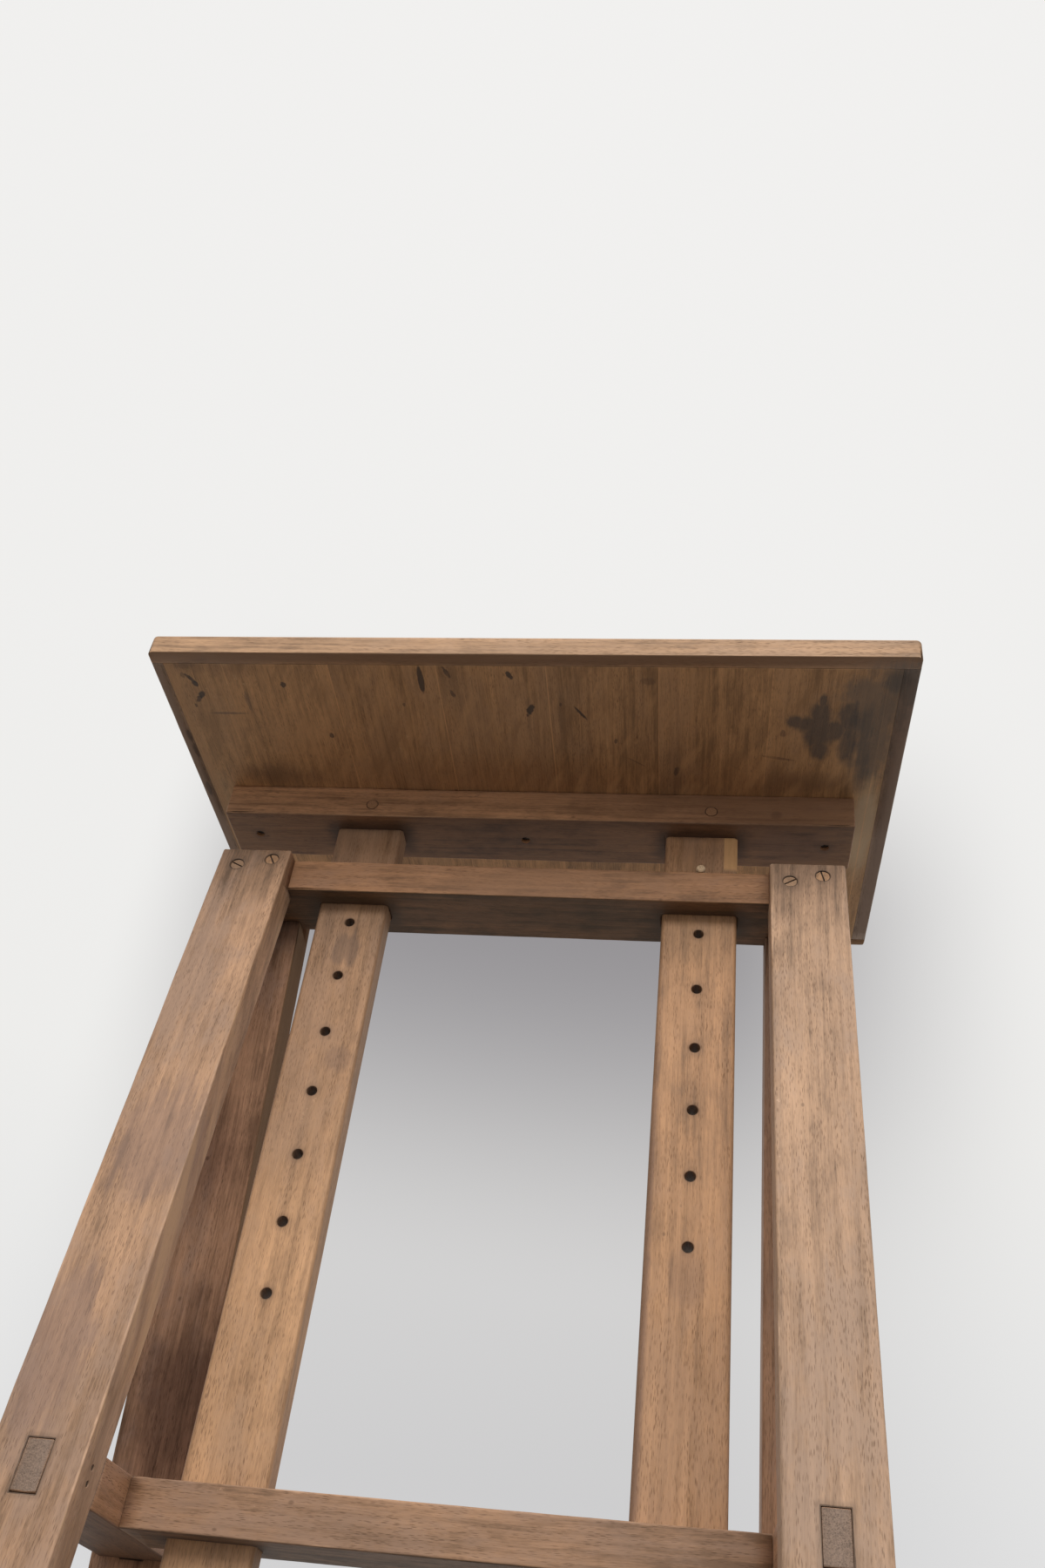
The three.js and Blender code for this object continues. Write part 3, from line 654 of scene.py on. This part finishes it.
SCREWS = {n: (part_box(n)[0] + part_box(n)[1]) / 2 for n in NODES if n.startswith("screw_")}
for side, sn in ((-1, "left"), (1, "right")):
    for face, fn in ((-1, "front"), (1, "rear")):
        n = f"leg_{fn}_{sn}"
        m = M[n]
        tenon = dict(ax=("x", "z"), centre=(side * 0.1958, 0.36825), half=(0.00695, 0.01355), w=0.0011, gk=0.22)
        marks, heads = [], []
        for k in (1, 2):
            q = SCREWS[f"screw_{n}_{k}"]
            ax = Vector((0, face * COS, SIN))
            far = max(v.co.dot(ax) for v in NODES[f"screw_{n}_{k}"].data.vertices)
            head = [v.co for v in NODES[f"screw_{n}_{k}"].data.vertices if v.co.dot(ax) > far - 0.0006]
            hz = (min(v.z for v in head) + max(v.z for v in head)) / 2
            rr = (max(v.x for v in head) - min(v.x for v in head)) / 2
            heads.append(dict(ax=("x", "z"), centre=(q.x, hz), radius=rr + 0.0003, w=0.0008, k=0.62, to=(0.035, 0.022, 0.016)))
            marks.append(dict(at=(q.x, 0, hz), r=(0.009, 1.0, 0.009), to=DARK, k=0.22, soft=(0.35, 1.1)))
        # painted shade: the top of each leg, under the board, darkened to about half
        dim = [toned((side * 0.1958, 0, 0.815), (0.045, 1.0, 0.075), (0.52, 0.52, 0.54) if side > 0 else (0.50, 0.50, 0.50), soft=(0.0, 1.2), streak=1.1)]
        if n == "leg_front_left":
            marks += [dict(at=(-0.1703, -0.0535, 0.712), r=(0.004, 0.0035, 0.0075), to=DARK, k=0.75, soft=(0.2, 1.0)),
                      dict(at=(-0.1703, -0.0535, 0.712), r=(0.004, 0.009, 0.022), to=tuple(c * 0.6 for c in MID[n]), k=0.5),
                      dict(at=(-0.19, -0.10, 0.56), r=(0.03, 1.0, 0.05), to=(0.235, 0.150, 0.122), k=0.4, streak=1.0),
                      dict(at=(-0.205, -0.12, 0.43), r=(0.02, 1.0, 0.06), to=(0.235, 0.150, 0.122), k=0.45, streak=1.0)]
        if n == "leg_rear_left":
            dim += [toned((-0.188, 0, 0.44), (0.045, 1.0, 0.085), (0.36, 0.34, 0.36), soft=(0.3, 1.2)),
                    toned((-0.20, 0, 0.60), (0.03, 1.0, 0.05), (0.62, 0.60, 0.62))]
        # painted shade on the narrow sides: strong on the rear left leg, slight on the others; the front left leg gets
        # slanting figure there instead
        mats[n] = wood("wood_" + n, m, tone(MID[n]), seed=3.7 + side * 1.3 + face * 5.1, pith=(side * 0.05, -0.06 * face),
                       lines=[tenon], rings=heads, spots=marks, greys=0.62, wear=0.25 if n == "leg_rear_left" else 0.9,
                       spec=0.08 if n == "leg_rear_left" else 0.32, rough=0.8 if n == "leg_rear_left" else 0.6,
                       extra=dim + [oblique((0.215, 0.125, 0.072), (0.50, 0.315, 0.185)) if n == "leg_front_left" else
                                    sides(0.85, (0.165, 0.100, 0.054)) if n == "leg_rear_left" else sides(0.2, tuple(c * 0.62 for c in MID[n]))])


def upper_right(c):
    g = c["g"]
    return g.step(c["x"], 0.1392, 0.1400) * g.step(c["z"], 0.8225, 0.8265) * g.step(c["n"].g.dot(c["n"], (0, -1, 0)), -0.2, 0.1)


for sn, side in (("left", -1), ("right", 1)):
    n = "post_" + sn
    holes = dict(ax=("x", "z"), centre=(-0.125 if side < 0 else 0.1232, 0.8129), radius=0.0037, w=0.0009, k=0.45,
                 pitch=0.04575, glow=0.0045, gk=0.20, to=DARK,
                 only=(lambda c, z0=0.8129 - (7.5 if side < 0 else 6.5) * 0.04575: c["g"].step(c["z"], z0, z0 + 0.001)))
    # painted shade: a dark band at the top of the post, under the batten
    marks = [dict(at=(M[n].C.x, 0, 0.862), r=(0.04, 1.0, 0.012), to=DARK, k=0.45, soft=(0.3, 1.2))]
    # a lighter patch lower down; then painted shade round the top rail and on the narrow sides
    ex = [toned((M[n].C.x, 0, 0.45), (0.08, 1.0, 0.20), (1.30, 1.32, 1.30) if side < 0 else (1.04, 1.04, 1.02), soft=(0.1, 1.25)),
          toned((M[n].C.x, 0, 0.79), (0.05, 1.0, 0.06), (0.88, 0.88, 0.88) if side < 0 else (0.80, 0.82, 0.82), soft=(0.1, 1.2)),
          sides(0.42, tuple(c * 0.50 for c in MID[n]))]
    if side < 0:
        marks += [dict(at=(-0.124, 0, 0.745), r=(0.012, 1.0, 0.016), to=(0.150, 0.095, 0.070), k=0.5, streak=1.4),
                  dict(at=(-0.112, 0, 0.655), r=(0.012, 1.0, 0.012), to=(0.17, 0.10, 0.07), k=0.4, streak=1.0)]
    else:
        def amber(c, col, h, r):
            g = c["g"]
            mask = upper_right(c) * g.step(c["s2"] + (c["s3"] - 0.5), 0.15, 0.45, 0.7, 1.0)
            gold = g.mix(c["s1"], (0.52, 0.25, 0.085), (0.95, 0.60, 0.30))
            return g.mix(mask * 0.8, col, gold), h, r
        # painted shade: a dark line down the rounded left edge of the right post
        marks += [dict(at=(0.0985, 0, 0.50), r=(0.0035, 1.0, 0.26), to=(0.11, 0.062, 0.048), k=0.62, soft=(0.3, 1.3)),
                  dict(at=(0.1232, -0.009, 0.52), r=(0.014, 1.0, 0.02), to=(0.20, 0.115, 0.075), k=0.35, streak=1.0)]
        ex.append(amber)
    mats[n] = wood("wood_" + n, M[n], tone(MID[n], grey=0.80), seed=21.3 + side * 4, pith=(side * 0.02, 0.07), ring=0.005,
                   ring_k=0.08, rings=[holes], spots=marks, extra=ex, greys=0.40, wear=0.35, mottle=0.42, fibre=0.82)
    n = "stretcher_" + sn
    # the stretchers' undersides are darkened: painted shade with dirt
    mats[n] = wood("wood_" + n, M[n], tone(MID[n], end=(0.215, 0.150, 0.112)), seed=31.1 + side * 3, wear=0.25,
                   extra=dirt_and_painted_shade(0.62, (0.085, 0.050, 0.034)))
# dark joint lines where the posts pass the rails and batten, with a wide painted shade round them on the undersides
posts = [dict(ax=("x", "y"), centre=(cx, 0), half=(w / 2 + 0.0005, 0.0095), w=0.0008, k=0.7, glow=0.013, gk=0.75, only=under,
              to=(0.030, 0.019, 0.014)) for cx, w in ((-0.125, 0.050), (0.1232, 0.052))]
# the rails' undersides are darkened: painted shade with dirt
mats["top_rail"] = wood("wood_top_rail", M["top_rail"], tone(MID["top_rail"], grey=0.72), seed=41.7, mottle=0.75, greys=0.55,
                        extra=dirt_and_painted_shade(0.66, (0.066, 0.039, 0.021), spread=1.5), lines=posts,
                        spots=[dict(at=(0.01, -0.025, 0.796), r=(0.10, 0.01, 0.05), to=(0.205, 0.110, 0.060), k=0.60, soft=(0.1, 1.3), streak=0.9)])
mats["cross_rail"] = wood("wood_cross_rail", M["cross_rail"], tone(MID["cross_rail"], grey=0.8), seed=47.9, mottle=0.75, greys=0.6,
                          extra=dirt_and_painted_shade(0.60, (0.062, 0.038, 0.023), spread=1.4), lines=posts)
plugs = [dict(ax=("x", "z"), centre=(x, z), radius=0.0041, w=0.0008, k=0.75, to=(0.05, 0.03, 0.02)) for x, z in ((-0.1228, 0.8659), (0.1294, 0.8661))]
bholes = [dict(ax=("x", "y"), centre=(x, 0), radius=0.0034, w=0.0009, k=0.6, glow=0.006, gk=0.35, only=under) for x in (-0.2134, -0.0077, 0.2121)]
# the batten's underside is darkened: painted shade with dirt
mats["batten"] = wood("wood_batten", M["batten"], tone(MID["batten"], grey=0.72), seed=55.9, mottle=0.6, greys=0.5, rings=plugs + bholes,
                      lines=posts, wear=0.4, extra=dirt_and_painted_shade(0.55, (0.100, 0.060, 0.042), spread=1.4),
                      spots=[dict(at=(0.1762, -0.024, 0.8639), r=(0.005, 0.01, 0.004), to=DARK, k=0.5),
                             dict(at=(0.19, 0.0, 0.8532), r=(0.035, 0.03, 0.004), to=(0.30, 0.175, 0.125), k=0.5),
                             dict(at=(0.17, -0.0245, 0.869), r=(0.15, 0.006, 0.05), to=(0.20, 0.105, 0.058), k=0.62, soft=(0.2, 1.3), streak=0.7)])


def low_side(c):
    return c["g"].step(c["z"], 0.8840, 0.8860, 1.0, 0.0)


def mark(x, y, rx, ry, to=INK, k=0.85, **kw):
    kw.setdefault("rag", 1.3)
    kw.setdefault("scale", 300.0)
    kw.setdefault("soft", (0.62, 1.0))
    return dict(at=(x / 1000, y / 1000, 0.8825), r=(rx / 1000, ry / 1000, 5.0), to=to, k=k, only=low_side, **kw)


BLUE = (0.070, 0.062, 0.062)
panel_marks = [
    # blots and strokes of ink
    mark(-236.2, -135.0, 1.9, 6.2, lean=-34, rag=1.0), mark(-234.0, -129.8, 2.1, 3.6, lean=-20), mark(-241.0, -137.5, 2.0, 4.0, k=0.45),
    mark(-232.2, -119.6, 2.6, 4.8, lean=30, rag=1.0), mark(-235.0, -115.5, 2.2, 4.4, lean=30, k=0.8), mark(-239.6, -108.6, 1.0, 2.0, k=0.6),
    mark(-224, -153.5, 9, 4.5, to=(0.075, 0.050, 0.043), k=0.62, soft=(0.2, 1.1)), mark(-238, -147, 11, 4.5, to=(0.12, 0.072, 0.05), k=0.45, soft=(0.2, 1.1)),
    mark(-71.2, -135.4, 2.5, 14.2, k=0.84, rag=0.3, soft=(0.75, 1.0)), mark(-52.6, -142.2, 1.8, 5.6, k=0.75, lean=-20),
    mark(-50.8, -122.9, 1.9, 5.0, k=0.6, lean=-15), mark(-9.9, -140.3, 2.2, 4.6, k=0.85, lean=-20), mark(2.1, -108.0, 2.8, 7.0, lean=24),
    mark(37.3, -105.3, 1.25, 9.5, k=0.85, lean=-34, rag=0.8), mark(-170.1, -129.5, 2.3, 3.0, k=0.85), mark(-145.5, -80.2, 2.0, 3.2, k=0.8),
    mark(60.6, -78.4, 1.7, 2.8, k=0.6), mark(103.5, -49, 2.2, 6.4, k=0.6, lean=14), mark(23.6, -113.6, 1.2, 2.0, k=0.5), mark(-86.8, -111.5, 1.3, 2.1, k=0.55),
    mark(-44.6, -154.7, 2.2, 2.0, k=0.6), mark(84, -135.6, 6, 4, to=(0.12, 0.07, 0.045), k=0.4), mark(75, -57.4, 9, 1.0, to=(0.10, 0.06, 0.04), k=0.45, lean=35, rag=0.5),
    mark(174, -64, 14, 1.5, to=(0.10, 0.055, 0.04), k=0.5, lean=10, rag=0.6), mark(176, -88.6, 2.4, 4.0, to=(0.11, 0.06, 0.045), k=0.5),
    mark(-218, -101.2, 18, 1.3, to=BLUE, k=0.5, rag=0.5), mark(-199.6, -113, 2.0, 12, to=BLUE, k=0.40, rag=0.6),
    mark(223.2, -118.2, 1.4, 3.0, k=0.7), mark(-166, -58, 1.2, 2.2, k=0.5),
    # painted shade on the panel just in front of the batten, then darker patches
    mark(-196, -37, 44, 15, to=(0.15, 0.085, 0.05), k=0.55, soft=(0.1, 1.2), rag=0.7, scale=60.0),
    mark(196, -39, 40, 15, to=(0.15, 0.085, 0.05), k=0.50, soft=(0.1, 1.2), rag=0.7, scale=60.0),
    mark(-215, -148, 40, 12, to=(0.15, 0.09, 0.06), k=0.35, soft=(0.2, 1.3), rag=0.8, scale=90.0),
    mark(150, -20, 60, 40, to=(0.30, 0.130, 0.052), k=0.35, soft=(0.2, 1.4), rag=0.8, scale=60.0),
    mark(-20, -20, 120, 35, to=(0.32, 0.15, 0.065), k=0.3, soft=(0.2, 1.4), rag=0.8, scale=60.0),
    # painted light: pale strips at the right and left edges behind the batten, where light from behind reaches the
    # underside
    mark(241, 12, 11, 62, to=(0.66, 0.50, 0.33), k=0.80, soft=(0.45, 1.15), rag=0.5, scale=60.0),
    mark(-243, 30, 10, 70, to=(0.62, 0.42, 0.25), k=0.45, soft=(0.35, 1.2), rag=0.6, scale=60.0),
]


def blot(parts, to, k, soft=(0.7, 1.12), rag=0.75, streak=0.8, seed=0.0):
    """One connected stain: the union of several ellipses in mm, its edge drawn out front to back."""
    def f(c, col, h, r):
        g = c["g"]
        d = None
        for x, y, rx, ry in parts:
            q = g.length(g.vec((c["x"] * 1000.0 - x) / rx, (c["y"] * 1000.0 - y) / ry, 0.0))
            d = q if d is None else g.lo(d, q)
        n1 = g.noise(g.vec(c["x"] * 420.0 + seed, c["y"] * 42.0, 0.0), detail=4.0, rough=0.65)
        n2 = g.noise(g.vec(c["x"] * 110.0, c["y"] * 110.0 + seed, 3.0), detail=4.0, rough=0.6)
        d = d + (n1 - 0.5) * streak + (n2 - 0.5) * rag
        mask = g.step(d, soft[0], soft[1], 1.0, 0.0) * k * low_side(c) * (0.86 + (c["s2"] - 0.5) * 0.5)
        return g.mix(mask, col, to), h, r + mask * 0.05
    return f


stain = [
    # a greyed corner, a grey band, then the blot itself
    blot([(252, -134, 30, 26), (236, -112, 26, 40), (238, -78, 17, 44), (228, -128, 20, 18)], (0.140, 0.122, 0.108), 0.80,
         soft=(0.35, 1.20), rag=0.9, streak=1.0, seed=4.0),
    blot([(233, -60, 6, 34), (231, -95, 8, 26), (246, -138, 11, 12)], (0.090, 0.084, 0.080), 0.66, soft=(0.3, 1.2), rag=0.8, streak=1.1, seed=9.0),
    blot([(183.5, -100.2, 7.6, 6.8), (192, -98.0, 11, 9.5), (200.5, -106, 9.0, 16), (200.5, -119, 3.0, 9), (201, -89, 12.5, 20), (202, -74, 8.0, 12),
          (211, -92, 10, 12), (219, -104, 8.4, 18), (220.5, -79, 7.2, 23)], (0.056, 0.057, 0.060), 0.86, soft=(0.50, 1.16), rag=0.55, streak=0.62),
]


def veneer(c, col, h, r):
    g = c["g"]
    low = low_side(c)
    q = g.op("FRACT", (c["x"] - 0.0157) / 0.0752 + 0.5)
    d = abs(q - 0.5) * 0.0752
    seam = g.step(d + (c["rag"] - 0.5) * 0.0004, 0.0001, 0.0006, 0.42, 0.0)
    col = g.mix(seam * g.step(c["p3"], 0.40, 0.55, 0.35, 1.0), col, tuple(x * 1.45 for x in c["t"]["light"]))
    # cross-grain ripple, light and oblique
    ripple = g.noise(g.vec((c["x"] * 1.0 + c["y"] * 0.35) * 60.0, (c["y"] - c["x"] * 0.2) * 14.0, 0.0), detail=3.0, rough=0.55)
    col = g.mix(g.step(ripple, 0.53, 0.68, 0.0, 0.42), col, c["t"]["light"])
    col = g.mix(g.step(ripple, 0.32, 0.46, 0.42, 0.0), col, c["t"]["dark"])
    # a paler strip beside the left lipping
    pale = g.step(c["x"], -0.2475, -0.2435, 1.0, 0.0) * low
    col = g.mix(pale * 0.55, col, (0.52, 0.30, 0.155))
    return col, h, r


mats["top_panel"] = wood("wood_top_panel", M["top_panel"], tone(MID["top_panel"], grey=0.7), seed=61.7, leaf=(0.0157, 0.0752, 0.22),
                         ring_k=0.04, mottle=0.45, greys=0.35, fibre=1.15, pores=0.6, wear=0.25, fine=1.15, extra=[veneer] + stain, spots=panel_marks)
corner = [m for m in panel_marks if m["at"][1] < -0.14 and abs(m["at"][0]) > 0.2]
for k, sn in enumerate(("front", "rear", "left", "right")):
    n = "lipping_" + sn
    # the lippings' undersides are darkened: painted shade with dirt, in these colours
    to = {"front": (0.255, 0.150, 0.088), "rear": (0.34, 0.20, 0.11), "left": (0.330, 0.232, 0.178), "right": (0.300, 0.212, 0.165)}[sn]
    mats[n] = wood("wood_" + n, M[n], tone(MID[n]), seed=70.1 + k * 3.3, wear=0.4, mottle=0.55, greys=0.4, ring_k=0.08,
                   extra=[dirt_and_painted_shade(0.75, to, spread=1.0)] + (stain[:2] if sn in ("front", "right") else
                                                      [blot([(-254, -78, 2.2, 7), (-253, -62, 2.4, 8), (-256, -20, 2, 9)], (0.10, 0.072, 0.06), 0.7)]
                                                      if sn == "left" else []), spots=corner if sn in ("front", "left", "right") else ())


def outer_rim(p):
    """True on the board's lower outer arris."""
    return abs(p.z - 0.8825) < 1e-4 and (abs(abs(p.x) - 0.26) < 2e-4 or abs(abs(p.y) - 0.159) < 2e-4)


for k, n in enumerate(M):
    if n == "top_panel":
        continue
    kw = dict(seed=k * 1.93, width=0.0012)
    if n.startswith("leg"):
        kw.update(width=0.0014)
    if n.startswith("post"):
        kw.update(width=0.0008)
    if n.startswith("lipping"):
        kw.update(width=0.0008, rim=0.0, pitch=0.01, pick=outer_rim)
    ob = worn(n, **kw)
    ob.data.materials.clear()
    ob.data.materials.append(mats[n])
NODES["top_panel"].data.materials.clear()
NODES["top_panel"].data.materials.append(mats["top_panel"])


def metal(name, m_at, axis, base, dark, seed, depth=0.0004):
    g = Graph(name)
    p = g.coord()
    d = g.vmath("SUBTRACT", p, m_at)
    h = g.dot(d, axis)
    n1 = g.noise(p, scale=420.0, detail=4.0, rough=0.65)
    n2 = g.noise(p, scale=1500.0, detail=3.0, rough=0.6)
    scr = g.noise(g.vmath("MULTIPLY", p, (2600.0, 300.0, 900.0)), detail=2.0)
    col = g.ramp(n1 * 0.7 + n2 * 0.3, (0.32, dark), (0.52, base), (0.72, tuple(c * 1.35 for c in base)))
    # painted shade: below the head's face, inside the slot, the colour goes nearly black
    inner = g.step(h, depth * 0.5, depth, 0.0, 1.0)
    col = g.mix(inner, col, tuple(c * 0.25 for c in dark))
    r = 0.45 + (n1 - 0.5) * 0.5 + (scr - 0.5) * 0.15
    met = g.step(n1, 0.35, 0.6, 0.15, 0.55) * (1.0 - inner * 0.8)
    return g.surface(col, r, n2 * 0.06 + scr * 0.03, metal=met)


def screw_place(n):
    lo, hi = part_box(n)
    return (lo + hi) / 2


for n in NODES:
    if n.startswith("screw_leg"):
        face = -1 if "front" in n else 1
        side = -1 if "left" in n else 1
        ax = Vector((0, -face * COS, -SIN))
        co = [v.co for v in NODES[n].data.vertices]
        h0 = min(c.dot(ax) for c in co)
        m = metal("screw_" + n, tuple(ax * h0), tuple(ax), (0.430, 0.250, 0.138) if n.endswith("2") else (0.330, 0.205, 0.125), (0.230, 0.132, 0.075), 1.0)
    elif n.startswith("batten_screw"):
        h0 = min(v.co.z for v in NODES[n].data.vertices)
        m = metal("iron_" + n, (0, 0, h0), (0, 0, 1), (0.055, 0.045, 0.038), (0.02, 0.016, 0.013), 2.0)
    elif n.startswith("pin_leg"):
        m = metal("iron_" + n, tuple(screw_place(n)), (1, 0, 0), (0.06, 0.045, 0.035), (0.025, 0.018, 0.014), 3.0, depth=1.0)
    elif n.startswith("batten_pin"):
        m = wood("wood_" + n, Member(n, X, Z, Y), tone((0.36, 0.19, 0.10), end=(0.36, 0.195, 0.105)), seed=81.0, fine=1.4, wear=0.0)
    elif n.startswith("peg_"):
        m = wood("wood_" + n, Member(n, X, Z, Y), tone((0.52, 0.36, 0.215), end=(0.60, 0.42, 0.26)), seed=91.0, fine=1.4, wear=0.2)
    else:
        continue
    o = NODES[n]
    o.data.materials.clear()
    o.data.materials.append(m)
    bv = o.modifiers.new("soft", "BEVEL")
    bv.width = 0.0002
    bv.segments = 2
    bv.limit_method = "ANGLE"
    bv.angle_limit = math.radians(40)

scene.view_settings.view_transform = "Standard"
scene.view_settings.look = "None"
scene.view_settings.exposure = 0.0
scene.view_settings.gamma = 1.0
